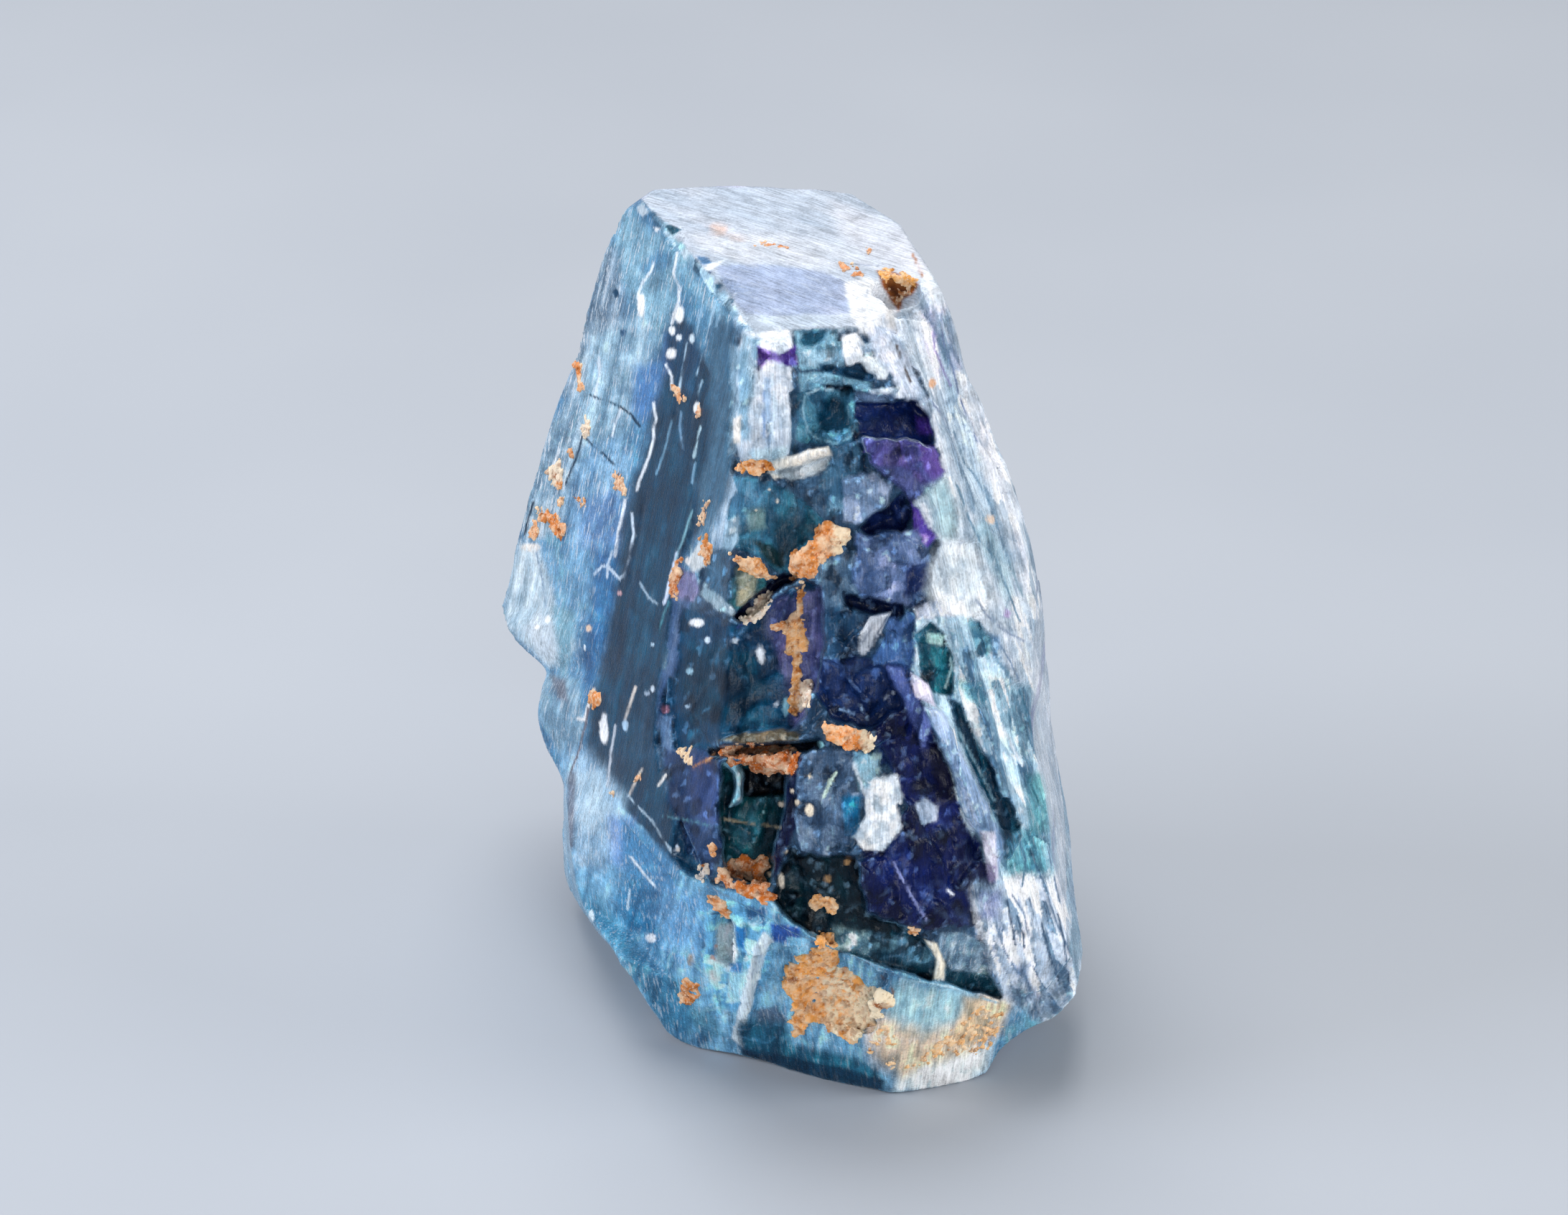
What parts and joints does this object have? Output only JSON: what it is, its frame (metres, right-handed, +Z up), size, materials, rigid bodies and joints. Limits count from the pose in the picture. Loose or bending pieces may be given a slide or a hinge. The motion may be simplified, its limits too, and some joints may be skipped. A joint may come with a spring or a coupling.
{
  "type": "fluorite crystal",
  "caption": "Tapering block of blue and purple cubic fluorite with smooth cleaved faces, a broken stepped front, iron-stained clay in its pockets, and a small flat to stand on.",
  "frame": {"origin": "middle of the crystal's footprint, on the surface it stands on", "axes": "+Z up along the length of the crystal, -Y towards its broken front, +X to the right seen from the front"},
  "size_m": [0.0302, 0.03, 0.04],
  "materials": {
    "fluorite": "vitreous on the smooth faces, frosted where it is bruised",
    "limonite": "dull, crumbly, iron-stained clay"
  },
  "bodies": {
    "root": {"fluorite_crystal": "fluorite", "limonite_foot_crust": "limonite", "limonite_ledge_block": "limonite", "limonite_ledge_lens": "limonite", "limonite_left_rim": "limonite", "limonite_seam": "limonite", "limonite_top_pocket": "limonite", "limonite_vein_upper": "limonite", "limonite_wedge_lower": "limonite"}
  },
  "joints": []
}
